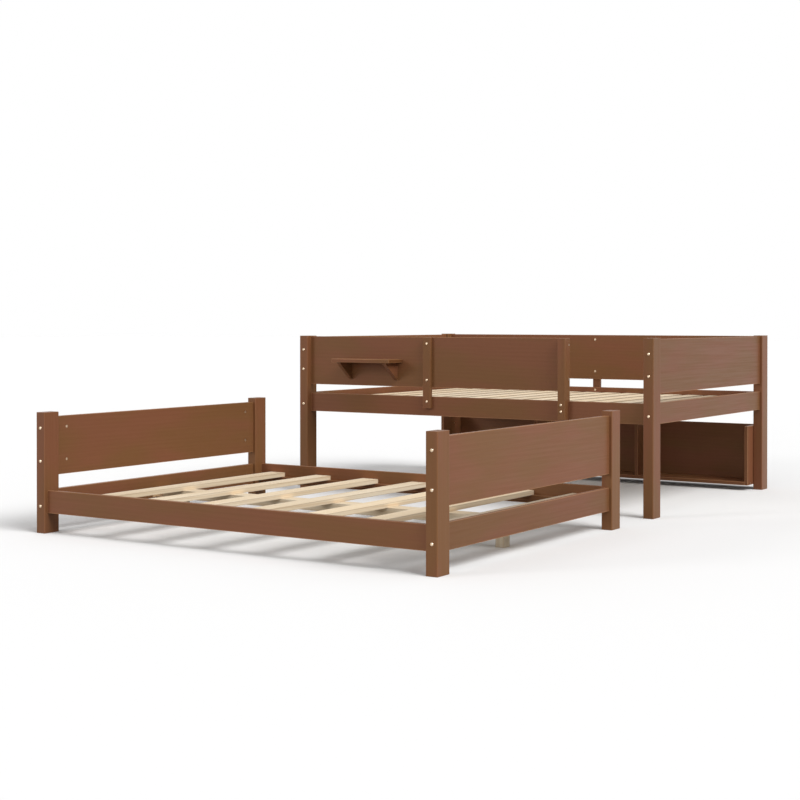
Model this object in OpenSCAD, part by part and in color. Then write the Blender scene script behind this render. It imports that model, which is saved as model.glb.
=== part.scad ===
// Bunk bed taken apart into its two beds: a low bed in front, and a loft bed with guards,
// an outside shelf and an open cubby unit behind it.
// Each bed is built in its own frame: x from the head end, y from its front face, z from the floor.

/* [Beds] */
// Length of each bed over its posts
bed_length = 2015; // [1940:5:2100]
// Width of each bed over its posts
bed_width = 1498; // [1300:5:1600]
// Clear space between the low bed and the loft bed
bed_gap = 349; // [100:1:800]

/* [Posts] */
// Post size along the bed
post_along = 50; // [42:1:60]
// Post size across the bed
post_across = 83; // [65:1:90]
// Radius of the posts' long edges
post_edge_r = 4; // [2:0.5:6]
// Height of the low bed's posts
low_post_h = 514; // [508:1:570]
// Height of the loft bed's posts
loft_post_h = 824; // [822:1:912]

/* [End boards] */
// Thickness of the end panels and end rails
end_board_t = 20; // [18:1:22]
// Distance of the end boards' outer faces from the posts' outer faces
end_board_inset = 14; // [10:1:18]
// Height of the low bed's end panels
end_panel_h = 251; // [200:1:254]
// Top of the low bed's end panels above the floor
low_panel_top = 494; // [486:1:506]
// Height of the low bed's end rails
low_end_rail_h = 100; // [90:1:110]
// Underside of the low bed's end rails above that of its side rails
low_end_rail_rise = -3; // [-12:1:2]
// Top of the loft bed's end panels above the floor
loft_panel_top = 819; // [810:1:821]
// Height of the loft bed's end rails
loft_end_rail_h = 97; // [90:1:110]
// Underside of the loft bed's end rails above that of its side rails
loft_end_rail_rise = 1; // [-6:1:4]
// Clear gap between the loft bed's end rails and end panels
loft_panel_gap = 43; // [20:1:90]

/* [Side rails and guards] */
// Thickness of the side rails, guards and strips
rail_t = 18; // [16:1:20]
// Height of the side rails
side_rail_h = 96; // [90:1:100]
// Distance of the low bed's side rails from the posts' outer faces
low_rail_inset = 18; // [14:1:22]
// Underside of the low bed's side rails above the floor
low_rail_z = 86; // [82:1:90]
// Distance of the loft bed's side rails and guards from the posts' outer faces
loft_rail_inset = 32; // [28:1:34]
// Underside of the loft bed's side rails above the floor
loft_rail_z = 427; // [424:1:430]
// Height of the guards
guard_h = 252; // [230:1:254]
// Clear gap between the loft bed's side rails and the guards
guard_gap = 46; // [20:1:60]
// Width of the strips that join guard and rail
strip_w = 45; // [35:1:60]
// Middle of the front strip, from the head end
front_strip_x = 785; // [720:1:900]
// Middle of the back strip, from the head end
back_strip_x = 1015; // [900:1:1100]
// Underside of the strips above that of the side rails
strip_rise = 37; // [10:1:50]
// Top of the strips below the top of the guards
strip_drop = 1; // [0:1:10]

/* [Entry] */
// Clear width of the entry
entry_w = 398; // [350:1:450]
// Width of the short entry post
entry_post_w = 40; // [36:1:50]
// Underside of the entry post above that of the side rail
entry_post_rise = 7; // [0:1:20]

/* [Bolt places] */
// Upper bolt of the low bed's end panels, below their top
low_upper_bolt_drop = 47; // [30:1:70]
// Lower bolt of the low bed's end panels, below their top
low_lower_bolt_drop = 188; // [150:1:200]
// Bolt of the low bed's end rails, above their underside
low_rail_bolt_rise = 32; // [30:1:70]
// Upper bolt of the loft bed's end panels, below their top
loft_upper_bolt_drop = 68; // [40:1:80]
// Lower bolt of the loft bed's end panels, above their underside
loft_lower_bolt_rise = 81; // [40:1:100]
// Bolt of the loft bed's end rails, above their underside
loft_rail_bolt_rise = 38; // [30:1:60]
// Upper bolt of the front strip, below the guard's top
strip_upper_bolt_drop = 33; // [20:1:60]
// Lower bolt of the front strip, above the guard's underside
strip_lower_bolt_rise = 37; // [20:1:60]
// Bolt of the front strip in the side rail, above the rail's underside
strip_rail_bolt_rise = 71; // [55:1:76]
// How much higher the back strip's bolts sit in its guard
back_strip_lift = 8; // [0:1:12]
// How much higher the back strip's bolt sits in its side rail
back_strip_rail_lift = 10; // [0:1:12]
// Upper bolt of the entry post, above the side rail's underside
entry_upper_bolt_rise = 78; // [72:1:80]
// Lower bolt of the entry post, above the side rail's underside
entry_lower_bolt_rise = 46; // [30:1:50]
// Bolts of the entry post, from its head-end face
entry_bolt_reach = 17; // [12:1:24]
// Upper side screw of the entry post, below the guard's top
entry_upper_screw_drop = 32; // [20:1:60]
// Lower side screw of the entry post, above the guard's underside
entry_lower_screw_rise = 58; // [30:1:80]

/* [Deck] */
// Number of slats in the low bed's deck
low_slat_count = 7; // [7]
// Number of slats in the loft bed's deck
loft_slat_count = 15; // [12:1:15]
// Width of a slat
slat_w = 89; // [70:1:100]
// Thickness of a slat
slat_t = 20; // [18:1:22]
// Near edge of the low bed's first slat, from the head end
low_slat_start = 112; // [90:1:130]
// Far edge of the low bed's last slat, from the foot end
low_slat_end = 123; // [100:1:140]
// Gap between the loft bed's posts and its first and last slats, along the bed
loft_slat_gap = 49; // [20:1:60]
// Distance of the low bed's deck below the top of its side rails
low_deck_drop = 38; // [32:1:40]
// Distance of the loft bed's deck below the top of its side rails
loft_deck_drop = 28; // [24:1:34]
// Height of the cleats under the slats' ends
cleat_h = 24; // [20:1:26]
// Thickness of the cleats
cleat_t = 22; // [18:1:26]
// Width of the centre beams
beam_w = 86; // [60:1:95]
// Height of the centre beams
beam_h = 38; // [34:1:40]
// Leg size along the beam
leg_along = 40; // [35:1:50]
// Leg size across the beam
leg_across = 45; // [35:1:60]
// Middle of the leg nearest each end, from that end
leg_end_x = 162; // [140:1:200]

/* [Outside shelf] */
// Head-end edge of the shelf board
shelf_x = 271; // [240:1:300]
// Length of the shelf board
shelf_length = 355; // [320:1:400]
// Depth of the shelf board
shelf_depth = 121; // [115:1:160]
// Thickness of the shelf board
shelf_t = 18; // [15:1:20]
// Underside of the shelf board above the guard's underside
shelf_rise = 121; // [100:1:140]
// Edge of the first bracket, from the shelf board's head end
bracket_start = 28; // [0:1:30]
// Edge of the second bracket, from the shelf board's foot end
bracket_end = 25; // [0:1:40]
// Thickness of a shelf bracket
bracket_t = 20; // [18:1:24]
// Depth of a shelf bracket under the board
bracket_depth = 111; // [90:1:112]
// Height of a shelf bracket
bracket_h = 89; // [70:1:90]
// Height of the blunt ends of a bracket
bracket_nose = 6; // [4:1:10]

/* [Cubby unit] */
// Distance of the cubby unit's front edges ahead of the back posts
cubby_ahead = 82; // [40:1:100]
// Depth of the cubby unit over its back panel
cubby_depth = 207; // [170:1:240]
// Thickness of the cubby boards
cubby_board_t = 18; // [16:1:20]
// Thickness of the cubby back panel
cubby_back_t = 8; // [6:1:10]
// Underside of the cubby unit above the floor
cubby_z = 28; // [20:1:34]
// Top of the cubby unit above the floor
cubby_top = 342; // [320:1:380]
// Number of equal bays
cubby_bays = 3; // [3]

/* [Bolts and nuts] */
// Shank radius of the post bolts
bolt_r = 4; // [3.5:0.25:4]
// Head radius of the post bolts
bolt_head_r = 6.8; // [6:0.1:8]
// Head height of all bolts
bolt_head_h = 4; // [3:0.5:5]
// Width of the hexagon sockets over their corners
socket_w = 5.8; // [5:0.1:6]
// Depth of the hexagon sockets
socket_depth = 2; // [1:0.5:2.5]
// Distance of the barrel nuts from the post's inner face
nut_reach = 60; // [50:1:65]
// Radius of the barrel nuts
barrel_nut_r = 5.5; // [5:0.25:6]
// Length of the barrel nuts
barrel_nut_length = 17; // [15:1:17]
// Shank radius of the strip bolts
strip_bolt_r = 3; // [2.5:0.25:3.25]
// Head radius of the strip bolts
strip_bolt_head_r = 6.4; // [6:0.1:7.5]
// Radius of the sleeve nuts' barrels
sleeve_r = 4.5; // [4:0.25:5]
// Length of the sleeve nuts with their heads
sleeve_length = 14; // [11:1:15]
// Height of the sleeve nuts' heads
sleeve_head_h = 2; // [1.5:0.25:2.5]

/* [Screws] */
// Shank radius of the wood screws
wood_screw_r = 2; // [1.5:0.25:2]
// Length of the wood screws
wood_screw_length = 34; // [30:1:34]
// Shank radius of the connecting screws
panel_screw_r = 3; // [2.5:0.25:3]
// Length of the connecting screws
panel_screw_length = 60; // [56:1:62]
// Shank radius of the plate screws
plate_screw_r = 1.5; // [1.25:0.25:1.5]
// Length of the plate screws
plate_screw_length = 14; // [10:1:14]

/* [Hidden fittings] */
// Thickness of the hook plates, catch plates and beam hangers
plate_t = 3; // [2:0.5:3]
// Width of the hook and catch plates
plate_w = 15; // [14:1:15]
// Height of the hook and catch plates
plate_h = 80; // [76:1:84]
// Radius of the stacking pin sockets in the post ends
pin_socket_r = 5; // [4:0.5:6]
// Depth of the stacking pin sockets
pin_socket_depth = 30; // [20:1:40]

/* [Clearances] */
// Gap around shanks, nuts and plates in their holes
fit_gap = 0.2; // [0.15:0.05:0.3]

/* [Hidden] */
$fn = 32;

// Colours by finish
stained = [0.50, 0.35, 0.24];
pine = [0.88, 0.80, 0.66];
steel = [0.80, 0.79, 0.76];

// Places of the two beds, about the middle of the whole set
loft_y = bed_width + bed_gap;
cubby_front_y = bed_width - post_across - cubby_ahead;
cubby_rear_y = cubby_front_y + cubby_depth;
set_depth = bolt_head_h + loft_y + cubby_rear_y;
front_y = bolt_head_h - set_depth / 2;

// Heights of rails, guards and decks
loft_rail_top = loft_rail_z + side_rail_h;
low_end_rail_z = low_rail_z + low_end_rail_rise;
loft_end_rail_z = loft_rail_z + loft_end_rail_rise;
low_panel_z = low_panel_top - end_panel_h;
loft_panel_z = loft_end_rail_z + loft_end_rail_h + loft_panel_gap;
guard_z = loft_rail_top + guard_gap;
guard_top = guard_z + guard_h;
low_deck_z = low_rail_z + side_rail_h - low_deck_drop;
loft_deck_z = loft_rail_top - loft_deck_drop;
low_rail_mid_z = low_rail_z + side_rail_h / 2;
loft_rail_mid_z = loft_rail_z + side_rail_h / 2;
guard_mid_z = guard_z + guard_h / 2;

// Lines along which the end boards' bolts run
bolt_x = end_board_inset + end_board_t / 2;
end_inner_x = end_board_inset + end_board_t;
low_bolt_z = [
    low_panel_top - low_upper_bolt_drop,
    low_panel_top - low_lower_bolt_drop,
    low_end_rail_z + low_rail_bolt_rise
];
loft_bolt_z = [
    loft_panel_top - loft_upper_bolt_drop,
    loft_panel_z + loft_lower_bolt_rise,
    loft_end_rail_z + loft_rail_bolt_rise
];

// Strips, entry post and their fasteners
rail_back = loft_rail_inset + rail_t;
strip_front = loft_rail_inset - rail_t;
front_strip_bolt_z = [
    guard_top - strip_upper_bolt_drop,
    guard_z + strip_lower_bolt_rise,
    loft_rail_z + strip_rail_bolt_rise
];
back_strip_bolt_z = front_strip_bolt_z + [back_strip_lift, back_strip_lift, back_strip_rail_lift];
entry_post_x = bed_length - post_along - entry_w - entry_post_w;
entry_post_z = loft_rail_z + entry_post_rise;
entry_bolt_x = entry_post_x + entry_bolt_reach;
entry_bolt_z = [loft_rail_z + entry_upper_bolt_rise, loft_rail_z + entry_lower_bolt_rise];
entry_screw_z = [guard_top - entry_upper_screw_drop, guard_z + entry_lower_screw_rise];

// Slats and deck fastening
function slat_places(first, last, count) = [for (i = [0 : count - 1])
    first + i * (last - first) / (count - 1)];
low_slat_x = slat_places(low_slat_start, bed_length - low_slat_end - slat_w, low_slat_count);
loft_slat_x = slat_places(
    post_along + loft_slat_gap, bed_length - post_along - loft_slat_gap - slat_w, loft_slat_count);
slat_screw_inset = 11;

// Screws of a cleat, in the middle of one gap between the slats out of so many
loft_cleat_gap_step = 3;
function gap_middles(slat_x, first, step) = [for (i = [first : step : len(slat_x) - 2])
    (slat_x[i] + slat_w + slat_x[i + 1]) / 2];
low_cleat_screw_x = gap_middles(low_slat_x, 0, 1);
loft_cleat_screw_x = gap_middles(loft_slat_x, 1, loft_cleat_gap_step);

// The two decks: inset of the rails, top of the slats, places of the slats and of the cleats' screws
low_deck = [low_rail_inset, low_deck_z, low_slat_x, low_cleat_screw_x];
loft_deck = [loft_rail_inset, loft_deck_z, loft_slat_x, loft_cleat_screw_x];
leg_x = [leg_end_x, bed_length / 2, bed_length - leg_end_x];

// Outside shelf places
shelf_z = guard_z + shelf_rise;
bracket_x = [shelf_x + bracket_start, shelf_x + shelf_length - bracket_end - bracket_t];
bracket_screw_drops = [15, 50];
board_screw_reaches = [30, 75];

// Cubby places
cubby_inner = bed_length - 2 * post_along - 2 * cubby_board_t;
cubby_bay = (cubby_inner - (cubby_bays - 1) * cubby_board_t) / cubby_bays;
cubby_side_x = [post_along, bed_length - post_along - cubby_board_t];
cubby_divider_x = [for (i = [1 : cubby_bays - 1])
    post_along + cubby_board_t + i * cubby_bay + (i - 1) * cubby_board_t];
cubby_panel_y = cubby_rear_y - cubby_back_t;
cubby_upright_depth = cubby_depth - cubby_back_t;
cubby_screw_inset = 45;
cubby_screw_rise = 60;
cubby_screw_y = [cubby_front_y + cubby_screw_inset, cubby_panel_y - cubby_screw_inset];
cubby_post_screw_z = [cubby_z + cubby_screw_rise, cubby_top - cubby_screw_rise];
cubby_floor_mid_z = cubby_z + cubby_board_t / 2;

// Post bolts: how far their tips pass the barrel nuts, and how far their holes pass the tips
bolt_tip = 4;
bolt_hole_end = 5;
bolt_end_y = post_across + nut_reach + barrel_nut_r + bolt_tip;
strip_bolt_tip_gap = 1;
slot_w = 1.2;
slot_depth = 1;
crown_w = 0.3;

// Hook fitting, from the meeting faces of post and side board
hook_t = 3;
hook_z = [-23, 17];
hook_stem_h = 10;
hook_nose_t = 3.5;
hook_nose_drop = 6;
hook_lift = 7;
slot_gap = 0.3;
hook_seat = plate_t + slot_gap;
hook_reach = hook_seat + hook_nose_t;
hook_pocket_gap = 2.5;
hook_pocket_depth = hook_reach + hook_pocket_gap;
hook_pocket_w = 8;
hook_pocket_end = 6;
plate_screw_z = [-34, 34];
head_sink = 0.3;

// Beam hanger, from the deck's top
hanger_t = plate_t - fit_gap;
hanger_flange = 24;
hanger_tray = 45;
hanger_half = beam_w / 2 + fit_gap;
hanger_tray_top = -slat_t - beam_h - fit_gap;
hanger_screw_y = [for (side = [-1, 1]) bed_width / 2 + side * (hanger_half + hanger_t + hanger_flange / 2)];
hanger_screw_drops = [8, 20];
hanger_screw_z = [for (drop = hanger_screw_drops) -slat_t - drop];
hanger_top_gap = 1;
hanger_cheek_gap = 2;
hanger_lift = 2;

// How far cuts run past the faces they open
over = 1;

// Placing helpers

module in_low_bed() {
    translate([-bed_length / 2, front_y, 0]) children();
}

module in_loft_bed() {
    translate([-bed_length / 2, front_y + loft_y, 0]) children();
}

// Turns a head-end shape into the foot-end one
module at_end(foot) {
    if (foot)
        translate([bed_length, 0, 0]) mirror([1, 0, 0]) children();
    else
        children();
}

// Turns a front-side shape into the back-side one
module at_side(back) {
    if (back)
        translate([0, bed_width, 0]) mirror([0, 1, 0]) children();
    else
        children();
}

module at_all_corners() {
    for (foot = [false, true], back = [false, true])
        at_end(foot) at_side(back) children();
}

module board(from, to) {
    translate(from) cube(to - from);
}

// Turned shapes lie along +z with their head's seat at z = 0

// Round-headed bolt with a flat crown round its hexagon socket
module bolt(shank_r, shank_length, head_r) {
    crown_r = socket_w / 2 + crown_w;
    centre_z = (head_r * head_r - crown_r * crown_r - bolt_head_h * bolt_head_h) / (2 * bolt_head_h);
    dome_r = sqrt(head_r * head_r + centre_z * centre_z);
    difference() {
        intersection() {
            translate([0, 0, centre_z]) sphere(dome_r, $fn = 48);
            translate([0, 0, -bolt_head_h]) cylinder(r = head_r, h = bolt_head_h);
        }
        translate([0, 0, -bolt_head_h - over]) cylinder(d = socket_w, h = socket_depth + over, $fn = 6);
    }
    cylinder(r = shank_r, h = shank_length);
}

// Countersunk screw, its head's top at z = 0; grow widens it into its hole, open above the head
module flat_screw(shank_r, shank_length, grow = 0) {
    head_r = 2 * shank_r + grow;
    cylinder(r1 = head_r, r2 = shank_r + grow, h = shank_r + grow);
    cylinder(r = shank_r + grow, h = shank_length + 2 * grow);
    if (grow > 0)
        translate([0, 0, -over]) cylinder(r = head_r, h = over);
}

module wood_screw(grow = 0) {
    flat_screw(wood_screw_r, wood_screw_length, grow);
}

module panel_screw(grow = 0) {
    flat_screw(panel_screw_r, panel_screw_length, grow);
}

module plate_screw(grow = 0) {
    flat_screw(plate_screw_r, plate_screw_length, grow);
}

// Directions a turned shape can point in
module towards_back() {
    rotate([-90, 0, 0]) children();
}

module towards_front() {
    rotate([90, 0, 0]) children();
}

module towards_foot() {
    rotate([0, 90, 0]) children();
}

module towards_head() {
    rotate([0, -90, 0]) children();
}

module downwards() {
    rotate([180, 0, 0]) children();
}

// Hidden hook fitting: a hook plate in the end of a side board and a catch plate in the post

// Origin at the middle of the fitting on the post's inner face, x towards the board
module at_fitting(inset, mid_z) {
    translate([post_along, inset + rail_t / 2, mid_z]) children();
}

module catch_plate() {
    difference() {
        translate([-plate_t, -plate_w / 2, -plate_h / 2]) cube([plate_t, plate_w, plate_h]);
        for (z = hook_z)
            translate([-plate_t - over, -hook_t / 2 - slot_gap, z])
                cube([plate_t + 2 * over, hook_t + 2 * slot_gap, hook_stem_h + hook_lift]);
        for (z = plate_screw_z)
            translate([-head_sink, 0, z]) towards_head() plate_screw(fit_gap / 2);
    }
}

module hook_plate() {
    difference() {
        translate([0, -plate_w / 2, -plate_h / 2]) cube([plate_t, plate_w, plate_h]);
        for (z = plate_screw_z)
            translate([head_sink, 0, z]) towards_foot() plate_screw(fit_gap / 2);
    }
    for (z = hook_z)
        translate([0, hook_t / 2, z]) rotate([90, 0, 0]) linear_extrude(hook_t) polygon([
            [0, 0], [0, hook_stem_h], [-hook_reach, hook_stem_h], [-hook_reach, -hook_nose_drop],
            [-hook_seat, -hook_nose_drop], [-hook_seat, 0]
        ]);
}

// Space that a catch plate, its hooks and its screws need in the post
module catch_cut() {
    translate([-plate_t, -plate_w / 2 - fit_gap, -plate_h / 2 - fit_gap])
        cube([plate_t + over, plate_w + 2 * fit_gap, plate_h + 2 * fit_gap]);
    translate([-hook_pocket_depth, -hook_pocket_w / 2, -plate_h / 2 + hook_pocket_end])
        cube([hook_pocket_depth, hook_pocket_w, plate_h - 2 * hook_pocket_end]);
    for (z = plate_screw_z)
        translate([-head_sink, 0, z]) towards_head() plate_screw(fit_gap);
}

// Space that a hook plate and its screws need in the end of a side board
module hook_cut() {
    translate([-over, -plate_w / 2 - fit_gap, -plate_h / 2 - fit_gap])
        cube([plate_t + over, plate_w + 2 * fit_gap, plate_h + 2 * fit_gap]);
    for (z = plate_screw_z)
        translate([head_sink, 0, z]) towards_foot() plate_screw(fit_gap);
}

// Posts

module rounded_section() {
    r = post_edge_r;
    translate([r, 0]) square([post_along - 2 * r, post_across]);
    translate([0, r]) square([post_along, post_across - 2 * r]);
    for (x = [r, post_along - r], y = [r, post_across - r])
        translate([x, y]) circle(r);
}

module pin_socket() {
    translate([post_along / 2, post_across / 2, 0])
        cylinder(r = pin_socket_r, h = pin_socket_depth + over, $fn = 48);
}

module bolt_holes(levels) {
    for (z = levels)
        translate([bolt_x, -over, z]) towards_back()
            cylinder(r = bolt_r + fit_gap, h = post_across + 2 * over);
}

module low_post() {
    color(stained) difference() {
        linear_extrude(low_post_h) rounded_section();
        bolt_holes(low_bolt_z);
        at_fitting(low_rail_inset, low_rail_mid_z) catch_cut();
        translate([0, 0, low_post_h - pin_socket_depth]) pin_socket();
    }
}

// guarded adds the catch of a guard; cubby adds the screw holes of the cubby unit
module loft_post(guarded, cubby) {
    color(stained) difference() {
        linear_extrude(loft_post_h) rounded_section();
        bolt_holes(loft_bolt_z);
        at_fitting(loft_rail_inset, loft_rail_mid_z) catch_cut();
        if (guarded)
            at_fitting(loft_rail_inset, guard_mid_z) catch_cut();
        if (cubby)
            for (z = cubby_post_screw_z)
                translate([post_along + cubby_board_t, post_across / 2, z])
                    towards_head() wood_screw(fit_gap);
        translate([0, 0, -over]) pin_socket();
    }
}

module low_post_head_front() {
    in_low_bed() low_post();
}

module low_post_head_back() {
    in_low_bed() at_side(true) low_post();
}

module low_post_foot_front() {
    in_low_bed() at_end(true) low_post();
}

module low_post_foot_back() {
    in_low_bed() at_end(true) at_side(true) low_post();
}

module loft_post_head_front() {
    in_loft_bed() loft_post(true, false);
}

module loft_post_head_back() {
    in_loft_bed() at_side(true) loft_post(true, true);
}

module loft_post_foot_front() {
    in_loft_bed() at_end(true) loft_post(false, false);
}

module loft_post_foot_back() {
    in_loft_bed() at_end(true) at_side(true) loft_post(true, true);
}

// End panels and end rails, between the posts of one end

// Holes at both ends of an end board for the bolts and their barrel nuts
module end_board_holes(levels) {
    for (back = [false, true], z = levels)
        at_side(back) {
            translate([bolt_x, post_across - over, z]) towards_back()
                cylinder(r = bolt_r + fit_gap, h = bolt_end_y + bolt_hole_end - post_across + over);
            translate([end_inner_x + over, post_across + nut_reach, z]) towards_head()
                cylinder(r = barrel_nut_r + fit_gap, h = barrel_nut_length + fit_gap + over);
        }
}

module end_board(low_z, high_z, levels, hanger_z = 0) {
    color(stained) difference() {
        board([end_board_inset, post_across, low_z], [end_inner_x, bed_width - post_across, high_z]);
        end_board_holes(levels);
        if (hanger_z > 0)
            translate([0, 0, hanger_z]) hanger_screws(fit_gap);
    }
}

module low_end_panel() {
    end_board(low_panel_z, low_panel_top, [low_bolt_z[0], low_bolt_z[1]]);
}

module low_end_rail() {
    end_board(low_end_rail_z, low_end_rail_z + low_end_rail_h, [low_bolt_z[2]], low_deck_z);
}

module loft_end_panel() {
    end_board(loft_panel_z, loft_panel_top, [loft_bolt_z[0], loft_bolt_z[1]]);
}

module loft_end_rail() {
    end_board(loft_end_rail_z, loft_end_rail_z + loft_end_rail_h, [loft_bolt_z[2]], loft_deck_z);
}

module headboard_panel() {
    in_low_bed() low_end_panel();
}

module head_rail() {
    in_low_bed() low_end_rail();
}

module footboard_panel() {
    in_low_bed() at_end(true) low_end_panel();
}

module foot_rail() {
    in_low_bed() at_end(true) low_end_rail();
}

module loft_head_panel() {
    in_loft_bed() loft_end_panel();
}

module loft_head_rail() {
    in_loft_bed() loft_end_rail();
}

module loft_foot_panel() {
    in_loft_bed() at_end(true) loft_end_panel();
}

module loft_foot_rail() {
    in_loft_bed() at_end(true) loft_end_rail();
}

// Side rails

// Screws that hold a cleat, driven outwards from the cleat's inner face
module cleat_screw_row(deck, grow = 0) {
    for (x = deck[3])
        translate([x, deck[0] + rail_t + cleat_t, deck[1] - slat_t - cleat_h / 2])
            towards_front() wood_screw(grow);
}

module side_rail(deck, low_z) {
    inset = deck[0];
    difference() {
        board([post_along, inset, low_z], [bed_length - post_along, inset + rail_t, low_z + side_rail_h]);
        for (foot = [false, true])
            at_end(foot) at_fitting(inset, low_z + side_rail_h / 2) hook_cut();
        cleat_screw_row(deck, fit_gap);
    }
}

module low_side_rail() {
    color(stained) side_rail(low_deck, low_rail_z);
}

module loft_side_rail() {
    side_rail(loft_deck, loft_rail_z);
}

// Holes through a strip and the board behind it, with the seats of the sleeve nuts
module strip_holes(x, levels, front) {
    for (z = levels)
        translate([x, front, z]) towards_back() {
            translate([0, 0, -over])
                cylinder(r = strip_bolt_r + fit_gap, h = rail_back - front + 2 * over);
            translate([0, 0, rail_back - front - sleeve_length - fit_gap])
                cylinder(r = sleeve_r + fit_gap, h = sleeve_length + fit_gap + over);
            translate([0, 0, rail_back - front - sleeve_head_h])
                cylinder(r = strip_bolt_head_r + fit_gap, h = sleeve_head_h + over);
        }
}

module low_front_rail() {
    in_low_bed() low_side_rail();
}

module low_back_rail() {
    in_low_bed() at_side(true) low_side_rail();
}

module loft_front_rail() {
    in_loft_bed() color(stained) difference() {
        loft_side_rail();
        strip_holes(front_strip_x, front_strip_bolt_z, strip_front);
        strip_holes(entry_bolt_x, entry_bolt_z, 0);
    }
}

module loft_back_rail() {
    in_loft_bed() at_side(true) color(stained) difference() {
        loft_side_rail();
        strip_holes(back_strip_x, back_strip_bolt_z, strip_front);
    }
}

// Cleats along the side rails, on which the slats' ends lie

module cleat(deck) {
    rail_inner = deck[0] + rail_t;
    top_z = deck[1] - slat_t;
    color(stained) difference() {
        board(
            [post_along, rail_inner, top_z - cleat_h],
            [bed_length - post_along, rail_inner + cleat_t, top_z]
        );
        cleat_screw_row(deck, fit_gap);
        slat_screw_row(deck, fit_gap);
    }
}

module low_front_cleat() {
    in_low_bed() cleat(low_deck);
}

module low_back_cleat() {
    in_low_bed() at_side(true) cleat(low_deck);
}

module loft_front_cleat() {
    in_loft_bed() cleat(loft_deck);
}

module loft_back_cleat() {
    in_loft_bed() at_side(true) cleat(loft_deck);
}

// Slats

// One screw in the end of each slat, down into the cleat
module slat_screw(deck, x, grow) {
    translate([x + slat_w / 2, deck[0] + rail_t + slat_screw_inset, deck[1]]) downwards() wood_screw(grow);
}

module slat_screw_row(deck, grow = 0) {
    for (x = deck[2])
        slat_screw(deck, x, grow);
}

module slat(deck, index) {
    x = deck[2][index];
    end_y = deck[0] + rail_t + fit_gap;
    color(pine) difference() {
        board([x, end_y, deck[1] - slat_t], [x + slat_w, bed_width - end_y, deck[1]]);
        for (back = [false, true])
            at_side(back) slat_screw(deck, x, fit_gap);
    }
}

module low_slat(number) {
    in_low_bed() slat(low_deck, number - 1);
}

module low_slat_1() { low_slat(1); }

module low_slat_2() { low_slat(2); }

module low_slat_3() { low_slat(3); }

module low_slat_4() { low_slat(4); }

module low_slat_5() { low_slat(5); }

module low_slat_6() { low_slat(6); }

module low_slat_7() { low_slat(7); }

module loft_slats() {
    in_loft_bed() for (i = [0 : loft_slat_count - 1])
        slat(loft_deck, i);
}

// Centre beams, their hangers and the legs

module centre_beam(deck_z, legs) {
    top_z = deck_z - slat_t;
    color(pine) difference() {
        board(
            [end_inner_x + plate_t, (bed_width - beam_w) / 2, top_z - beam_h],
            [bed_length - end_inner_x - plate_t, (bed_width + beam_w) / 2, top_z]
        );
        if (legs)
            leg_screws(fit_gap);
    }
}

module low_centre_beam() {
    in_low_bed() centre_beam(low_deck_z, true);
}

module loft_centre_beam() {
    in_loft_bed() centre_beam(loft_deck_z, false);
}

// Screws down through the low bed's beam into its legs
module leg_screws(grow = 0) {
    for (x = leg_x)
        translate([x, bed_width / 2, low_deck_z - slat_t]) downwards() panel_screw(grow);
}

module centre_legs() {
    in_low_bed() color(pine) difference() {
        for (x = leg_x)
            translate([x - leg_along / 2, (bed_width - leg_across) / 2, 0])
                cube([leg_along, leg_across, low_deck_z - slat_t - beam_h]);
        leg_screws(fit_gap);
    }
}

// Four screws of one hanger, measured from the deck's top
module hanger_screws(grow = 0) {
    for (y = hanger_screw_y, z = hanger_screw_z)
        translate([end_inner_x + hanger_t - head_sink, y, z]) towards_head() plate_screw(grow);
}

// Bent steel hanger at the head end, measured from the deck's top: a back, a tray and two cheeks
module beam_hanger() {
    outer = hanger_half + hanger_t;
    difference() {
        union() {
            board(
                [end_inner_x, bed_width / 2 - outer - hanger_flange, hanger_tray_top + hanger_lift],
                [end_inner_x + hanger_t, bed_width / 2 + outer + hanger_flange, -slat_t - hanger_top_gap]
            );
            board(
                [end_inner_x, bed_width / 2 - outer, hanger_tray_top - hanger_t],
                [end_inner_x + hanger_tray, bed_width / 2 + outer, hanger_tray_top]
            );
            for (side = [-1, 1])
                translate([
                    end_inner_x, bed_width / 2 + side * (hanger_half + hanger_t / 2) - hanger_t / 2, 0
                ])
                    board(
                        [0, 0, hanger_tray_top - hanger_t],
                        [hanger_tray, hanger_t, -slat_t - hanger_cheek_gap]
                    );
        }
        hanger_screws(fit_gap);
    }
}

module beam_hangers() {
    color(steel) {
        in_low_bed() for (foot = [false, true])
            at_end(foot) translate([0, 0, low_deck_z]) beam_hanger();
        in_loft_bed() for (foot = [false, true])
            at_end(foot) translate([0, 0, loft_deck_z]) beam_hanger();
    }
}

// Guards, strips and the entry post of the loft bed

module front_guard() {
    in_loft_bed() color(stained) difference() {
        board([post_along, loft_rail_inset, guard_z], [entry_post_x, rail_back, guard_top]);
        at_fitting(loft_rail_inset, guard_mid_z) hook_cut();
        strip_holes(front_strip_x, front_strip_bolt_z, strip_front);
        entry_side_screws(fit_gap);
        bracket_screws(fit_gap);
    }
}

module back_guard() {
    in_loft_bed() at_side(true) color(stained) difference() {
        board([post_along, loft_rail_inset, guard_z], [bed_length - post_along, rail_back, guard_top]);
        for (foot = [false, true])
            at_end(foot) at_fitting(loft_rail_inset, guard_mid_z) hook_cut();
        strip_holes(back_strip_x, back_strip_bolt_z, strip_front);
    }
}

module strip(x, levels) {
    color(stained) difference() {
        board(
            [x - strip_w / 2, strip_front, loft_rail_z + strip_rise],
            [x + strip_w / 2, loft_rail_inset, guard_top - strip_drop]
        );
        strip_holes(x, levels, strip_front);
    }
}

module front_strip() {
    in_loft_bed() strip(front_strip_x, front_strip_bolt_z);
}

module back_strip() {
    in_loft_bed() at_side(true) strip(back_strip_x, back_strip_bolt_z);
}

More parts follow.
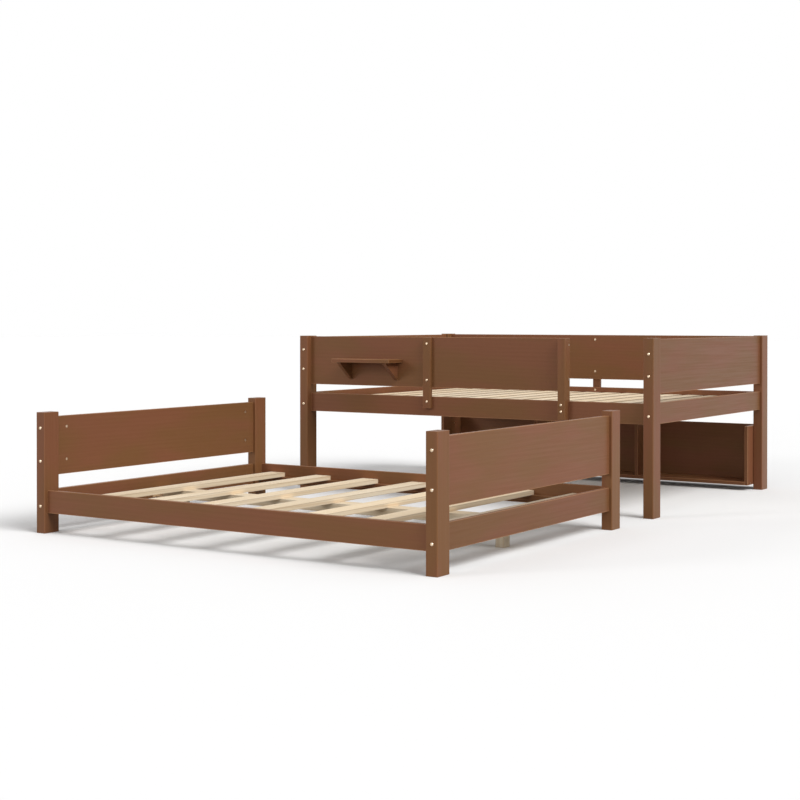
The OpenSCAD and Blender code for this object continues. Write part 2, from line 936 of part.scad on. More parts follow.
// Screws through the entry post into the end of the front guard
module entry_side_screws(grow = 0) {
    for (z = entry_screw_z)
        translate([entry_post_x + entry_post_w, loft_rail_inset + rail_t / 2, z])
            towards_head() panel_screw(grow);
}

// Short post beside the entry, notched over the front rail
module entry_post() {
    in_loft_bed() color(stained) difference() {
        board([entry_post_x, 0, entry_post_z], [entry_post_x + entry_post_w, rail_back, guard_top]);
        translate([entry_post_x - over, loft_rail_inset, entry_post_z - over])
            cube([entry_post_w + 2 * over, rail_t + over, loft_rail_top - entry_post_z + over]);
        strip_holes(entry_bolt_x, entry_bolt_z, 0);
        entry_side_screws(fit_gap);
    }
}

// Outside shelf

// Screws through the front guard into the backs of the brackets
module bracket_screws(grow = 0) {
    for (x = bracket_x, drop = bracket_screw_drops)
        translate([x + bracket_t / 2, rail_back, shelf_z - drop]) towards_front() wood_screw(grow);
}

// Screws down through the shelf board into the brackets
module board_screws(grow = 0) {
    for (x = bracket_x, reach = board_screw_reaches)
        translate([x + bracket_t / 2, loft_rail_inset - reach, shelf_z + shelf_t])
            downwards() wood_screw(grow);
}

module shelf_board() {
    in_loft_bed() color(stained) difference() {
        board(
            [shelf_x, loft_rail_inset - shelf_depth, shelf_z],
            [shelf_x + shelf_length, loft_rail_inset, shelf_z + shelf_t]
        );
        board_screws(fit_gap);
    }
}

// Triangular bracket: full depth under the board, running down to a blunt tip on the guard
module shelf_bracket(x) {
    in_loft_bed() color(stained) difference() {
        translate([x, loft_rail_inset, shelf_z]) rotate([90, 0, 90]) linear_extrude(bracket_t) polygon([
            [0, 0], [-bracket_depth, 0], [-bracket_depth, -bracket_nose],
            [-bracket_nose, -bracket_h], [0, -bracket_h]
        ]);
        bracket_screws(fit_gap);
        board_screws(fit_gap);
    }
}

module shelf_bracket_left() {
    shelf_bracket(bracket_x[0]);
}

module shelf_bracket_right() {
    shelf_bracket(bracket_x[1]);
}

// Cubby unit between the loft bed's back posts

// Screws from the outer faces of the sides into the cubby floor, and up through it into the dividers
module cubby_floor_screws(grow = 0) {
    for (foot = [false, true], y = cubby_screw_y)
        at_end(foot) translate([post_along, y, cubby_floor_mid_z]) towards_foot() panel_screw(grow);
    for (x = cubby_divider_x, y = cubby_screw_y)
        translate([x + cubby_board_t / 2, y, cubby_z]) panel_screw(grow);
}

// Screws through the sides into the back posts
module cubby_post_screws(grow = 0) {
    for (foot = [false, true], z = cubby_post_screw_z)
        at_end(foot) translate([post_along + cubby_board_t, bed_width - post_across / 2, z])
            towards_head() wood_screw(grow);
}

// Screws through the back panel into the uprights
module cubby_back_screws(grow = 0) {
    for (x = concat(cubby_side_x, cubby_divider_x), z = cubby_post_screw_z)
        translate([x + cubby_board_t / 2, cubby_rear_y, z]) towards_front() wood_screw(grow);
}

module cubby_upright(x, low_z) {
    in_loft_bed() color(stained) difference() {
        board([x, cubby_front_y, low_z], [x + cubby_board_t, cubby_panel_y, cubby_top]);
        cubby_floor_screws(fit_gap);
        cubby_post_screws(fit_gap);
        cubby_back_screws(fit_gap);
    }
}

module cubby_side_left() {
    cubby_upright(cubby_side_x[0], cubby_z);
}

module cubby_side_right() {
    cubby_upright(cubby_side_x[1], cubby_z);
}

module cubby_divider_left() {
    cubby_upright(cubby_divider_x[0], cubby_z + cubby_board_t);
}

module cubby_divider_right() {
    cubby_upright(cubby_divider_x[1], cubby_z + cubby_board_t);
}

module cubby_floor() {
    in_loft_bed() color(stained) difference() {
        board(
            [post_along + cubby_board_t, cubby_front_y, cubby_z],
            [bed_length - post_along - cubby_board_t, cubby_panel_y, cubby_z + cubby_board_t]
        );
        cubby_floor_screws(fit_gap);
    }
}

module cubby_back_panel() {
    in_loft_bed() color(stained) difference() {
        board([post_along, cubby_panel_y, cubby_z], [bed_length - post_along, cubby_rear_y, cubby_top]);
        cubby_back_screws(fit_gap);
    }
}

// Hidden steel fittings

module every_fitting() {
    in_low_bed() at_all_corners() at_fitting(low_rail_inset, low_rail_mid_z) children();
    in_loft_bed() at_all_corners() at_fitting(loft_rail_inset, loft_rail_mid_z) children();
    in_loft_bed() {
        at_fitting(loft_rail_inset, guard_mid_z) children();
        for (foot = [false, true])
            at_end(foot) at_side(true) at_fitting(loft_rail_inset, guard_mid_z) children();
    }
}

module rail_hook_plates() {
    color(steel) every_fitting() hook_plate();
}

module post_catch_plates() {
    color(steel) every_fitting() catch_plate();
}

module plate_screws() {
    color(steel) {
        every_fitting() for (z = plate_screw_z) {
            translate([-head_sink, 0, z]) towards_head() plate_screw();
            translate([head_sink, 0, z]) towards_foot() plate_screw();
        }
        in_low_bed() for (foot = [false, true])
            at_end(foot) translate([0, 0, low_deck_z]) hanger_screws();
        in_loft_bed() for (foot = [false, true])
            at_end(foot) translate([0, 0, loft_deck_z]) hanger_screws();
    }
}

// Bolts and nuts

module post_bolt_set(levels) {
    at_all_corners() for (z = levels)
        translate([bolt_x, 0, z]) towards_back()
            bolt(bolt_r, bolt_end_y, bolt_head_r);
}

module post_bolts() {
    color(steel) {
        in_low_bed() post_bolt_set(low_bolt_z);
        in_loft_bed() post_bolt_set(loft_bolt_z);
    }
}

module barrel_nut_set(levels) {
    at_all_corners() for (z = levels)
        translate([end_inner_x, post_across + nut_reach, z]) difference() {
            towards_head() cylinder(r = barrel_nut_r, h = barrel_nut_length);
            translate([bolt_x - end_inner_x, -barrel_nut_r - over, 0]) towards_back()
                cylinder(r = bolt_r + fit_gap / 2, h = 2 * barrel_nut_r + 2 * over);
            translate([-slot_depth, -barrel_nut_r, -slot_w / 2])
                cube([slot_depth + over, 2 * barrel_nut_r, slot_w]);
        }
}

module barrel_nuts() {
    color(steel) {
        in_low_bed() barrel_nut_set(low_bolt_z);
        in_loft_bed() barrel_nut_set(loft_bolt_z);
    }
}

module strip_bolt_set(x, levels, front) {
    for (z = levels)
        translate([x, front, z]) towards_back()
            bolt(strip_bolt_r, rail_back - front - sleeve_head_h - strip_bolt_tip_gap, strip_bolt_head_r);
}

module strip_bolts() {
    color(steel) in_loft_bed() {
        strip_bolt_set(front_strip_x, front_strip_bolt_z, strip_front);
        strip_bolt_set(entry_bolt_x, entry_bolt_z, 0);
        at_side(true) strip_bolt_set(back_strip_x, back_strip_bolt_z, strip_front);
    }
}

// Sleeve nut: a headed barrel with a blind hole for the bolt and a screwdriver slot in its head
module sleeve_nut() {
    difference() {
        union() {
            cylinder(r = sleeve_r, h = sleeve_length);
            cylinder(r = strip_bolt_head_r, h = sleeve_head_h);
        }
        translate([0, 0, sleeve_head_h])
            cylinder(r = strip_bolt_r + fit_gap / 2, h = sleeve_length);
        translate([-strip_bolt_head_r, -slot_w / 2, -over])
            cube([2 * strip_bolt_head_r, slot_w, slot_depth + over]);
    }
}

module sleeve_nut_set(x, levels) {
    for (z = levels)
        translate([x, rail_back, z]) towards_front() sleeve_nut();
}

module strip_nuts() {
    color(steel) in_loft_bed() {
        sleeve_nut_set(front_strip_x, front_strip_bolt_z);
        sleeve_nut_set(entry_bolt_x, entry_bolt_z);
        at_side(true) sleeve_nut_set(back_strip_x, back_strip_bolt_z);
    }
}

// Screws

module deck_screws(deck) {
    for (back = [false, true])
        at_side(back) {
            slat_screw_row(deck);
            cleat_screw_row(deck);
        }
}

module wood_screws() {
    color(steel) {
        in_low_bed() deck_screws(low_deck);
        in_loft_bed() {
            deck_screws(loft_deck);
            bracket_screws();
            board_screws();
            cubby_post_screws();
            cubby_back_screws();
        }
    }
}

module panel_screws() {
    color(steel) {
        in_low_bed() leg_screws();
        in_loft_bed() {
            entry_side_screws();
            cubby_floor_screws();
        }
    }
}

low_post_head_front();
low_post_head_back();
low_post_foot_front();
low_post_foot_back();
headboard_panel();
head_rail();
footboard_panel();
foot_rail();
low_front_rail();
low_back_rail();
low_front_cleat();
low_back_cleat();
low_slat_1();
low_slat_2();
low_slat_3();
low_slat_4();
low_slat_5();
low_slat_6();
low_slat_7();
low_centre_beam();
centre_legs();
loft_post_head_front();
loft_post_head_back();
loft_post_foot_front();
loft_post_foot_back();
loft_head_panel();
loft_head_rail();
loft_foot_panel();
loft_foot_rail();
loft_front_rail();
loft_back_rail();
loft_front_cleat();
loft_back_cleat();
loft_slats();
loft_centre_beam();
front_guard();
back_guard();
front_strip();
back_strip();
entry_post();
shelf_board();
shelf_bracket_left();
shelf_bracket_right();
cubby_floor();
cubby_side_left();
cubby_divider_left();
cubby_divider_right();
cubby_side_right();
cubby_back_panel();
beam_hangers();
rail_hook_plates();
post_catch_plates();
post_bolts();
barrel_nuts();
strip_bolts();
strip_nuts();
wood_screws();
panel_screws();
plate_screws();
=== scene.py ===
"""The looks of a bunk bed taken apart into a low bed and a loft bed.

Every wooden board is its CAD node with its outer edges rounded. Each point of it carries its place
within the board, so that one wood shader runs the grain along every board and paints its edges:
painted shade on pine, wear and painted highlight on stained wood.
"""

import math
import random

import bmesh
import bpy
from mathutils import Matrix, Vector


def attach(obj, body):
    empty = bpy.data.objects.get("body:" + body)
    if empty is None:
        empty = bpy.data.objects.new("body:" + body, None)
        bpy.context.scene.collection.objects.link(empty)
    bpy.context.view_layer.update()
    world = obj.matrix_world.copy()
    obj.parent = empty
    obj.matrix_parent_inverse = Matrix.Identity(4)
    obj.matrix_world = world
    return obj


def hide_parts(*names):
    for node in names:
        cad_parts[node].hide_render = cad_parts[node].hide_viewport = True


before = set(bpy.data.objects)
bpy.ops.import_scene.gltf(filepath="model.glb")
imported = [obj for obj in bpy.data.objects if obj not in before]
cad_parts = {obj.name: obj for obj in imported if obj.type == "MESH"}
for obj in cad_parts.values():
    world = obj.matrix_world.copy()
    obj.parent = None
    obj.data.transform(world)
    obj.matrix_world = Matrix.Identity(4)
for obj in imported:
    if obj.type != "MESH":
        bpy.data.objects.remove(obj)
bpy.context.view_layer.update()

# Camera, fitted to the beds' corners in the photograph
CAMERA_PLACE = (3.7979, -6.1478, 0.9052)
CAMERA_YAW = 33.488
CAMERA_PITCH = 0.491
FOCAL_PIXELS = 1496.5
AXIS_ROW = 333.1
PICTURE = 800
SENSOR = 36.0

# Rounding of the boards' outer edges, in metres
BOARD_EDGE = 0.0016
POST_END_EDGE = 0.0012
SLAT_EDGE = 0.0009
EDGE_SEGMENTS = 3
ROUND_PROFILE = 0.5
SHORTEST_EDGE = 0.004

# The least fold of an edge that is rounded, and the least fold that is shaded as sharp
ROUNDED_FOLD = math.radians(25)
SHARP_FOLD = math.radians(35)

# Below these a fold is flat, two points are one, and a point lies on its part's box
FLAT_FOLD = math.radians(0.5)
SAME_POINT = 1e-6
ON_THE_BOX = 1e-5

# The rim of a post's end lies further out than this share of its half width
RIM_SHARE = 0.8

# Seed of the boards' random places in the grain
GRAIN_SEED = 8

# How strongly the edges are painted, from 0 to 1: painted shade darkens them on pine; on stained
# wood they are paler from wear and painted highlight
PINE_BOARD_EDGE_SHADE = 0.25
LOFT_SLAT_EDGE_SHADE = 0.72
STAINED_EDGE_WEAR_AND_HIGHLIGHT = 1.0
UPRIGHT_EDGE_WEAR_AND_HIGHLIGHT = 0.35

# Words in a node's name that tell its material
STEEL_WORDS = ("bolts", "nuts", "screws", "plates", "hangers")
PINE_WORDS = ("slat", "slats", "beam", "legs")

# Words in a node's name that tell an upright piece
UPRIGHT_WORDS = ("post", "strip")

# Boards whose ends show, so that their ends are rounded too
OPEN_ENDED = ("strip", "shelf", "cubby", "legs", "entry")


def slot_of(name):
    """The record's material slot of a CAD node."""
    words = name.split("_")
    if any(word in STEEL_WORDS for word in words):
        return "zinc_steel"
    if any(word in PINE_WORDS for word in words):
        return "natural_pine"
    return "stained_wood"


def srgb(red, green, blue):
    """A colour read in 0..255 display values, as linear light."""
    def linear(value):
        value /= 255.0
        return value / 12.92 if value <= 0.04045 else ((value + 0.055) / 1.055) ** 2.4
    return tuple(linear(value) for value in (red, green, blue))


# Shaders


class Shader:
    """A material being made: adds nodes, and links them or sets their constants."""

    def __init__(self, name):
        self.material = bpy.data.materials.new(name)
        self.material.use_nodes = True
        self.tree = self.material.node_tree
        self.tree.nodes.clear()
        self.surface = self.add("ShaderNodeBsdfPrincipled")
        output = self.add("ShaderNodeOutputMaterial")
        self.tree.links.new(self.surface.outputs[0], output.inputs["Surface"])

    def add(self, kind, **settings):
        node = self.tree.nodes.new(kind)
        for key, value in settings.items():
            setattr(node, key, value)
        return node

    def feed(self, socket, value):
        """Links a socket to another node's output, or sets it to a constant."""
        if isinstance(value, bpy.types.NodeSocket):
            self.tree.links.new(value, socket)
        elif isinstance(value, tuple) and socket.type == "RGBA":
            socket.default_value = (*value, 1.0)
        else:
            socket.default_value = value

    def set(self, name, value):
        """Gives an input of the surface its value."""
        self.feed(self.surface.inputs[name], value)

    def attribute(self, name, output):
        return self.add("ShaderNodeAttribute", attribute_name=name).outputs[output]

    def math(self, operation, *values):
        node = self.add("ShaderNodeMath", operation=operation)
        for socket, value in zip(node.inputs, values):
            self.feed(socket, value)
        return node.outputs[0]

    def vector(self, operation, *values):
        node = self.add("ShaderNodeVectorMath", operation=operation)
        for socket, value in zip(node.inputs, values):
            self.feed(socket, value)
        return node.outputs[0]

    def scale(self, vector, factor):
        node = self.add("ShaderNodeVectorMath", operation="SCALE")
        self.feed(node.inputs[0], vector)
        self.feed(node.inputs["Scale"], factor)
        return node.outputs[0]

    def axes(self, vector):
        """The three parts of a vector."""
        node = self.add("ShaderNodeSeparateXYZ")
        self.feed(node.inputs[0], vector)
        return node.outputs

    def noise(self, vector, detail=3.0, roughness=0.5):
        node = self.add("ShaderNodeTexNoise")
        self.feed(node.inputs["Vector"], vector)
        node.inputs["Scale"].default_value = 1.0
        node.inputs["Detail"].default_value = detail
        node.inputs["Roughness"].default_value = roughness
        return node.outputs["Fac"]

    def smooth(self, value, low, high, out_low=0.0, out_high=1.0):
        """value taken smoothly from low..high to out_low..out_high."""
        node = self.add("ShaderNodeMapRange", interpolation_type="SMOOTHSTEP")
        self.feed(node.inputs["Value"], value)
        node.inputs["From Min"].default_value = low
        node.inputs["From Max"].default_value = high
        node.inputs["To Min"].default_value = out_low
        node.inputs["To Max"].default_value = out_high
        return node.outputs["Result"]

    def mix(self, factor, first, second):
        """first where the factor is 0, second where it is 1."""
        node = self.add("ShaderNodeMix", data_type="RGBA")
        self.feed(node.inputs[0], factor)
        self.feed(node.inputs[6], first)
        self.feed(node.inputs[7], second)
        return node.outputs[2]

    def brighter(self, colour, value):
        """The colour with its brightness times value."""
        node = self.add("ShaderNodeHueSaturation")
        self.feed(node.inputs["Value"], value)
        self.feed(node.inputs["Color"], colour)
        return node.outputs[0]

    def bump(self, height, distance):
        """Relief of the surface: a height of 1 stands a distance in metres above a height of 0."""
        node = self.add("ShaderNodeBump")
        self.feed(node.inputs["Height"], height)
        node.inputs["Strength"].default_value = 1.0
        node.inputs["Distance"].default_value = distance
        self.tree.links.new(node.outputs["Normal"], self.surface.inputs["Normal"])


class Wood(Shader):
    """A shader with the places within a board that its grain is made from."""

    # The furthest that one board's grain is moved from another's, in metres
    BOARD_SHIFT = (37.0, 11.0, 5.0)

    # How much narrower than long a knot is
    KNOT_NARROWNESS = 2.2

    def __init__(self, name):
        super().__init__(name)
        self.place = self.attribute("within", "Vector")
        self.seed = self.attribute("board_seed", "Fac")
        self.moved = self.vector("ADD", self.place, self.scale(self.BOARD_SHIFT, self.seed))

    def streaks(self, along, across, **settings):
        """Noise drawn out along the grain: so many cells to the metre each way."""
        return self.noise(self.vector("MULTIPLY", self.moved, (along, across, across)), **settings)

    def edge_and_end(self):
        """Distance to the board's nearest edge, and to its nearest end, in metres."""
        half = self.attribute("half", "Vector")
        left = self.axes(self.vector("SUBTRACT", half, self.vector("ABSOLUTE", self.place)))
        along, wide, thick = left
        nearest = self.math("MAXIMUM", along, wide)
        for first, second in ((wide, thick), (along, thick)):
            nearest = self.math("MINIMUM", nearest, self.math("MAXIMUM", first, second))
        return nearest, along

    def rings(self, spacing, tilt, wander):
        """Growth rings as 0..1 stripes, which the board's slant cuts into long arches."""
        bend = self.streaks(along=1.1, across=5.0, detail=2.0)
        along, wide, thick = self.axes(self.moved)
        side = self.math("MULTIPLY_ADD", bend, wander, wide)
        depth = self.math("MULTIPLY_ADD", along, tilt, thick)
        squares = [self.math("POWER", side, 2.0), self.math("POWER", depth, 2.0)]
        radius = self.math("SQRT", self.math("ADD", *squares))
        wave = self.math("SINE", self.math("MULTIPLY", radius, 2.0 * math.pi / spacing))
        return self.math("MULTIPLY_ADD", wave, 0.5, 0.5)

    def knots(self, per_metre, chance, low, high):
        """Rare oval knots, as 1 at their hearts and 0 away from them."""
        cells = self.add("ShaderNodeTexVoronoi", feature="F1")
        counts = (per_metre, per_metre * self.KNOT_NARROWNESS, 1.0)
        self.feed(cells.inputs["Vector"], self.vector("MULTIPLY", self.moved, counts))
        cells.inputs["Scale"].default_value = 1.0
        near = self.smooth(cells.outputs["Distance"], low, high, 1.0, 0.0)
        pick = self.axes(cells.outputs["Color"])[0]
        chosen = self.math("LESS_THAN", pick, chance)
        return self.math("MULTIPLY", near, chosen)

    def edge_band(self, edge, low, high):
        """The band along a board's edges, scaled by how strongly the piece's edges are painted:
        with shade on pine, with wear and highlight on stained wood.
        """
        band = self.smooth(edge, low, high, 1.0, 0.0)
        return self.math("MULTIPLY", band, self.attribute("edge_shade_highlight_and_wear", "Fac"))


# Materials

# Widths over which a stained edge's wear and painted highlight, a pine edge's painted shade and a
# sawn end fade out, in metres
STAINED_EDGE_BAND = (0.0004, 0.0030)
PINE_EDGE_BAND = (0.0008, 0.0045)
END_BAND = (0.0004, 0.0020)

# Heights of the surfaces' relief, in metres
STAINED_RELIEF = 0.00012
PINE_RELIEF = 0.00015
ZINC_RELIEF = 0.00003

# Cells of the dull bloom to the metre of steel
BLOOM_CELLS = 260.0

STAIN = srgb(121, 83, 51)
STAIN_DARK = srgb(92, 54, 28)
STAIN_RED = srgb(127, 81, 56)
# Paler stained edges: partly wear, partly a painted highlight standing in for their lit top faces
STAIN_EDGE_WEAR_AND_HIGHLIGHT = srgb(168, 122, 86)
PINE_PALE = srgb(236, 222, 197)
PINE_GOLD = srgb(219, 196, 160)
PINE_RING = srgb(198, 162, 118)
# Painted shade on the pine edges, standing in for the shade in the gaps between slats
PINE_EDGE_SHADE = srgb(112, 78, 50)
KNOT = srgb(116, 72, 40)
ZINC = srgb(236, 216, 190)
ZINC_DULL = srgb(206, 184, 156)


def stained_wood():
    """Satin brown stain: soft patches, faint grain and arches, paler edges that are partly wear
    and partly painted highlight, darker ends.
    """
    wood = Wood("stained_wood")
    patches = wood.streaks(along=2.2, across=7.0, detail=2.0)
    grain = wood.streaks(along=3.0, across=160.0, detail=4.0, roughness=0.6)
    pores = wood.streaks(along=30.0, across=900.0, detail=1.0)
    rings = wood.rings(spacing=0.017, tilt=0.030, wander=0.030)
    knots = wood.knots(per_metre=1.3, chance=0.22, low=0.010, high=0.035)
    edge, end = wood.edge_and_end()

    colour = wood.mix(wood.smooth(patches, 0.35, 0.65), STAIN, STAIN_RED)
    tone = wood.smooth(grain, 0.30, 0.70, 0.0, 0.10)
    colour = wood.mix(tone, colour, STAIN_DARK)
    colour = wood.mix(wood.math("MULTIPLY", rings, 0.07), colour, STAIN_DARK)
    colour = wood.mix(wood.smooth(pores, 0.58, 0.75, 0.0, 0.14), colour, STAIN_DARK)
    colour = wood.mix(wood.math("MULTIPLY", knots, 0.45), colour, STAIN_DARK)
    colour = wood.brighter(colour, wood.smooth(wood.seed, 0.0, 1.0, 0.94, 1.06))
    colour = wood.mix(wood.smooth(end, *END_BAND, 0.45, 0.0), colour, STAIN_DARK)
    # The stained edges are paler: partly wear, partly a painted highlight standing in for their
    # lit top faces
    edge_wear_and_highlight_amount = wood.smooth(patches, 0.30, 0.60, 0.45, 0.90)
    edge_wear_and_highlight = wood.math("MULTIPLY", wood.edge_band(edge, *STAINED_EDGE_BAND), edge_wear_and_highlight_amount)
    colour = wood.mix(edge_wear_and_highlight, colour, STAIN_EDGE_WEAR_AND_HIGHLIGHT)
    wood.set("Base Color", colour)

    wood.set("Roughness", wood.smooth(grain, 0.25, 0.75, 0.34, 0.48))
    wood.set("Specular IOR Level", 0.17)
    relief = wood.math("MULTIPLY_ADD", pores, -0.6, grain)
    wood.bump(relief, STAINED_RELIEF)
    return wood.material


def natural_pine():
    """Planed bare pine: golden rings along the grain, a few knots, a dry surface, and painted
    shade along its edges.
    """
    wood = Wood("natural_pine")
    patches = wood.streaks(along=0.9, across=9.0, detail=2.0)
    grain = wood.streaks(along=2.5, across=210.0, detail=4.0, roughness=0.6)
    rings = wood.rings(spacing=0.011, tilt=0.022, wander=0.024)
    knots = wood.knots(per_metre=1.7, chance=0.42, low=0.008, high=0.040)
    edge, end = wood.edge_and_end()

    colour = wood.mix(wood.smooth(patches, 0.35, 0.65, 0.0, 0.50), PINE_PALE, PINE_GOLD)
    colour = wood.mix(wood.smooth(rings, 0.55, 1.0, 0.0, 0.26), colour, PINE_RING)
    colour = wood.mix(wood.smooth(grain, 0.35, 0.75, 0.0, 0.28), colour, PINE_RING)
    colour = wood.mix(wood.math("MULTIPLY", knots, 0.85), colour, KNOT)
    colour = wood.brighter(colour, wood.smooth(wood.seed, 0.0, 1.0, 0.93, 1.05))
    colour = wood.mix(wood.smooth(end, *END_BAND, 0.35, 0.0), colour, PINE_RING)
    # Painted shade: the pine edges are darkened to stand in for the shade in the gaps between
    # slats
    colour = wood.mix(wood.edge_band(edge, *PINE_EDGE_BAND), colour, PINE_EDGE_SHADE)
    wood.set("Base Color", colour)

    wood.set("Roughness", wood.smooth(grain, 0.25, 0.75, 0.58, 0.72))
    wood.set("Specular IOR Level", 0.35)
    wood.bump(grain, PINE_RELIEF)
    return wood.material


def zinc_steel():
    """Bright zinc plate with a faint dull bloom."""
    steel = Shader("zinc_steel")
    where = steel.add("ShaderNodeTexCoord").outputs["Object"]
    bloom = steel.noise(steel.scale(where, BLOOM_CELLS))
    steel.set("Base Color", steel.mix(steel.smooth(bloom, 0.40, 0.70), ZINC, ZINC_DULL))
    steel.set("Metallic", 1.0)
    steel.set("Roughness", steel.smooth(bloom, 0.30, 0.75, 0.24, 0.42))
    steel.bump(bloom, ZINC_RELIEF)
    return steel.material


# Boards


def loose_parts(bm):
    """The separate solids of a mesh, as lists of vertices, always in the same order."""
    left = set(bm.verts)
    parts = []
    while left:
        front = [left.pop()]
        part = []
        while front:
            vertex = front.pop()
            part.append(vertex)
            for edge in vertex.link_edges:
                other = edge.other_vert(vertex)
                if other in left:
                    left.remove(other)
                    front.append(other)
        parts.append(part)
    return sorted(parts, key=rounded_middle)


def rounded_middle(part):
    """The middle of a part's box to a tenth of a millimetre, which puts the parts in order."""
    return [round(value, 4) for value in box_of(part)[0]]


def edges_of(part):
    """The edges of one solid, always in the same order."""
    return sorted({e for v in part for e in v.link_edges}, key=lambda e: e.index)


def box_of(vertices):
    """Middle and half size of the box round some vertices."""
    low = Vector([min(v.co[i] for v in vertices) for i in range(3)])
    high = Vector([max(v.co[i] for v in vertices) for i in range(3)])
    return (low + high) / 2, (high - low) / 2


def on_sides(vertex, middle, half):
    """The axes along which a vertex lies on its part's box."""
    offset = vertex.co - middle
    return {i for i in range(3) if abs(abs(offset[i]) - half[i]) < ON_THE_BOX}


def outer_edges(part, middle, half, whole):
    """A part's long convex edges on its box: all of them, or only those along its length."""
    length = max(range(3), key=lambda i: half[i])
    chosen = []
    for edge in edges_of(part):
        if len(edge.link_faces) != 2 or edge.calc_face_angle(0.0) < ROUNDED_FOLD:
            continue
        if edge.calc_length() < SHORTEST_EDGE or not edge.is_convex:
            continue
        shared = on_sides(edge.verts[0], middle, half) & on_sides(edge.verts[1], middle, half)
        if len(shared) >= 2 and (whole or length not in shared):
            chosen.append(edge)
    return chosen


def rim_edges(part, middle, half):
    """The edges round a post's two ends, without the rim of its pin socket."""
    chosen = []
    for edge in edges_of(part):
        spots = [v.co - middle for v in edge.verts]
        if any(abs(abs(spot.z) - half.z) > ON_THE_BOX for spot in spots):
            continue
        reach = [max(abs(spot.x) / half.x, abs(spot.y) / half.y) for spot in spots]
        if min(reach) > RIM_SHARE and edge.calc_face_angle(0.0) > ROUNDED_FOLD:
            chosen.append(edge)
    return chosen


def slanted_edges(part):
    """The outline edges of a bracket, which don't all lie on its box."""
    folded = [e for e in edges_of(part) if e.calc_face_angle(0.0) > ROUNDED_FOLD]
    return [e for e in folded if e.calc_length() > SHORTEST_EDGE]


def is_post(name):
    """Whether a piece is one of the posts that stand on the floor."""
    return "post" in name and "entry" not in name


def edges_to_round(name, part, middle, half):
    """The edges of one solid that are rounded."""
    if is_post(name):
        return rim_edges(part, middle, half)
    if "bracket" in name:
        return slanted_edges(part)
    whole = any(word in name for word in OPEN_ENDED)
    return outer_edges(part, middle, half, whole)


def rounding_width(name):
    """How far the edges of a wooden piece are rounded."""
    if is_post(name):
        return POST_END_EDGE
    return SLAT_EDGE if slot_of(name) == "natural_pine" else BOARD_EDGE


def board_frame(half):
    """The axes of a board from its longest side to its thinnest, and its half sizes along them."""
    order = sorted(range(3), key=lambda i: -half[i])
    return order, [half[i] for i in order]


def edge_shade_highlight_and_wear(name):
    """How strongly the edges of a wooden piece are painted: with shade on pine, with wear and
    highlight on stained wood.
    """
    if name == "loft_slats":
        return LOFT_SLAT_EDGE_SHADE
    if slot_of(name) == "natural_pine":
        return PINE_BOARD_EDGE_SHADE
    if any(word in name for word in UPRIGHT_WORDS):
        return UPRIGHT_EDGE_WEAR_AND_HIGHLIGHT
    return STAINED_EDGE_WEAR_AND_HIGHLIGHT


def round_and_map(name, bm, chance):
    """Rounds a board's edges, and writes on every corner where it lies within its own solid."""
    within = bm.verts.layers.float_vector.new("within")
    halves = bm.verts.layers.float_vector.new("half")
    seeds = bm.verts.layers.float.new("board_seed")
    strengths = bm.verts.layers.float.new("edge_shade_highlight_and_wear")
    tag = bm.verts.layers.int.new("part")
    bm.edges.index_update()
    boxes = []
    edges = []
    for number, part in enumerate(loose_parts(bm)):
        middle, half = box_of(part)
        boxes.append((middle, half, chance.random()))
        for vertex in part:
            vertex[tag] = number
        edges += edges_to_round(name, part, middle, half)
    bmesh.ops.bevel(bm, geom=edges, offset=rounding_width(name), segments=EDGE_SEGMENTS,
                    profile=ROUND_PROFILE, affect="EDGES")
    for vertex in bm.verts:
        middle, half, seed = boxes[vertex[tag]]
        order, sizes = board_frame(half)
        offset = vertex.co - middle
        vertex[within] = [offset[i] for i in order]
        vertex[halves] = sizes
        vertex[seeds] = seed
        vertex[strengths] = edge_shade_highlight_and_wear(name)


def dress_board(name, material, chance):
    """Puts the rounded and mapped form of a wooden CAD node in the node's place."""
    bm = bmesh.new()
    bm.from_mesh(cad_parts[name].data)
    bmesh.ops.remove_doubles(bm, verts=bm.verts, dist=SAME_POINT)
    bmesh.ops.dissolve_limit(bm, angle_limit=FLAT_FOLD, verts=bm.verts, edges=bm.edges)
    round_and_map(name, bm, chance)
    mesh = bpy.data.meshes.new(name + "_board")
    bm.to_mesh(mesh)
    bm.free()
    mesh.polygons.foreach_set("use_smooth", [True] * len(mesh.polygons))
    mesh.set_sharp_from_angle(angle=SHARP_FOLD)
    mesh.materials.append(material)
    board = bpy.data.objects.new(name + "_board", mesh)
    bpy.context.scene.collection.objects.link(board)
    weighted = board.modifiers.new("even_normals", "WEIGHTED_NORMAL")
    weighted.keep_sharp = True
    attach(board, "root")
    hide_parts(name)


def finish_steel(name, material):
    """A steel CAD node stays as it is, with its material."""
    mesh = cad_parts[name].data
    mesh.materials.clear()
    mesh.materials.append(material)


def dress_all():
    """Gives every CAD node the finish of its material slot."""
    finishes = {
        "stained_wood": stained_wood(),
        "natural_pine": natural_pine(),
        "zinc_steel": zinc_steel(),
    }
    chance = random.Random(GRAIN_SEED)
    for name in sorted(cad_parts):
        slot = slot_of(name)
        if slot == "zinc_steel":
            finish_steel(name, finishes[slot])
        else:
            dress_board(name, finishes[slot], chance)


# Floor, light and camera

FLOOR_SIZE = 120.0
VIEW_RANGE = 200.0

# The floor's colour for rays that light the beds, and for rays that see it
FLOOR_COLOUR = (0.30, 0.295, 0.285)
FLOOR_SEEN = (0.86, 0.86, 0.86)
FLOOR_ROUGHNESS = 0.9
FLOOR_GLOSS = 0.1
ROOM_LIGHT = 0.51


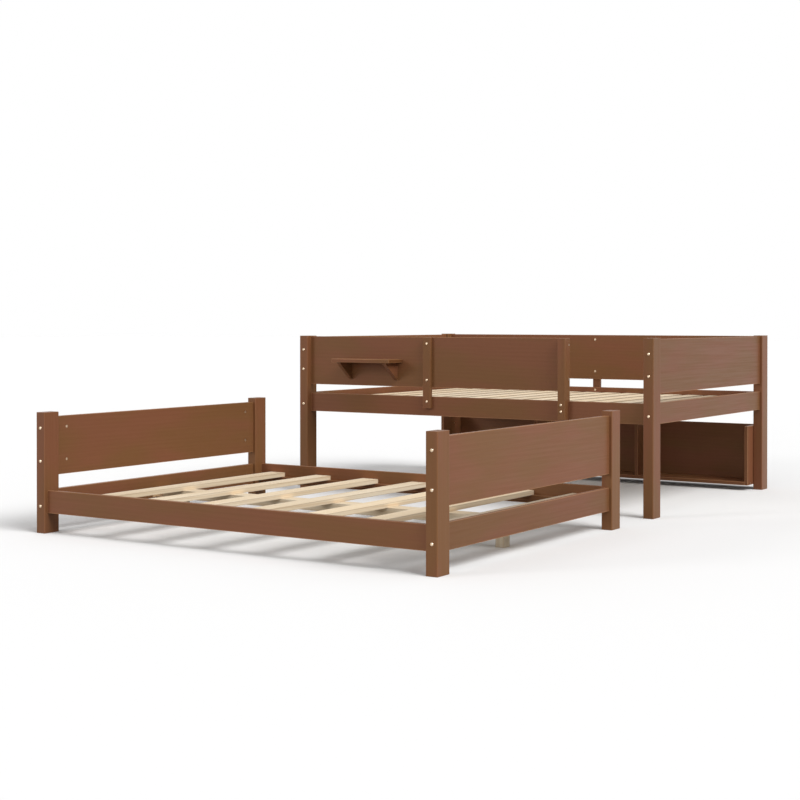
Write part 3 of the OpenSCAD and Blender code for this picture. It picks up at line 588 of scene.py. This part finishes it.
def seen_rays(tree):
    """1 for rays that the camera, gloss or glass sees by, 0 for rays that light the object."""
    path = tree.nodes.new("ShaderNodeLightPath")
    total = path.outputs["Is Camera Ray"]
    for name in ("Is Glossy Ray", "Is Transmission Ray"):
        adder = tree.nodes.new("ShaderNodeMath")
        adder.operation = "MAXIMUM"
        tree.links.new(total, adder.inputs[0])
        tree.links.new(path.outputs[name], adder.inputs[1])
        total = adder.outputs[0]
    return total


def floor():
    """A plain pale floor that keeps the beds' shadows."""
    bpy.ops.mesh.primitive_plane_add(size=FLOOR_SIZE)
    plane = bpy.context.object
    plane.name = "floor"
    shader = Shader("floor_paint")
    shader.set("Base Color", shader.mix(seen_rays(shader.tree), FLOOR_COLOUR, FLOOR_SEEN))
    shader.set("Roughness", FLOOR_ROUGHNESS)
    shader.set("Specular IOR Level", FLOOR_GLOSS)
    plane.data.materials.append(shader.material)


def room():
    """White where it is seen, and a plain even light on the object."""
    world = bpy.data.worlds.new("room")
    world.use_nodes = True
    tree = world.node_tree
    tree.nodes.clear()
    background = tree.nodes.new("ShaderNodeBackground")
    output = tree.nodes.new("ShaderNodeOutputWorld")
    strength = tree.nodes.new("ShaderNodeMapRange")
    strength.inputs["To Min"].default_value = ROOM_LIGHT
    strength.inputs["To Max"].default_value = 1.0
    tree.links.new(seen_rays(tree), strength.inputs["Value"])
    tree.links.new(strength.outputs["Result"], background.inputs["Strength"])
    background.inputs["Color"].default_value = (1.0, 1.0, 1.0, 1.0)
    tree.links.new(background.outputs[0], output.inputs["Surface"])
    bpy.context.scene.world = world


def sun(name, towards, level, softness):
    """An even lamp in a direction, which lights a facing white surface to a level from 0 to 1.

    Its softness is the width of its disc in the sky, in degrees.
    """
    data = bpy.data.lights.new(name, "SUN")
    data.energy = level * math.pi
    data.angle = math.radians(softness)
    lamp = bpy.data.objects.new(name, data)
    lamp.rotation_euler = Vector(towards).to_track_quat("Z", "Y").to_euler()
    bpy.context.scene.collection.objects.link(lamp)


def lights():
    """A strong lamp from the right and above, and two weak ones from the left and the front."""
    sun("right_lamp", towards=(0.70, -0.10, 0.70), level=0.82, softness=35.0)
    sun("left_lamp", towards=(-0.58, -0.75, 0.32), level=0.20, softness=16.0)
    sun("front_lamp", towards=(0.10, -0.98, 0.12), level=0.13, softness=20.0)


def camera():
    """The photograph's camera, with its picture shifted so that its uprights stay level."""
    data = bpy.data.cameras.new("camera")
    data.sensor_width = SENSOR
    data.lens = FOCAL_PIXELS * SENSOR / PICTURE
    data.shift_y = (AXIS_ROW - PICTURE / 2) / PICTURE
    data.clip_end = VIEW_RANGE
    view = bpy.data.objects.new("camera", data)
    view.location = CAMERA_PLACE
    view.rotation_euler = (math.radians(90.0 - CAMERA_PITCH), 0.0, math.radians(CAMERA_YAW))
    bpy.context.scene.collection.objects.link(view)
    bpy.context.scene.camera = view


dress_all()
floor()
room()
lights()
camera()
bpy.context.scene.view_settings.view_transform = "Standard"
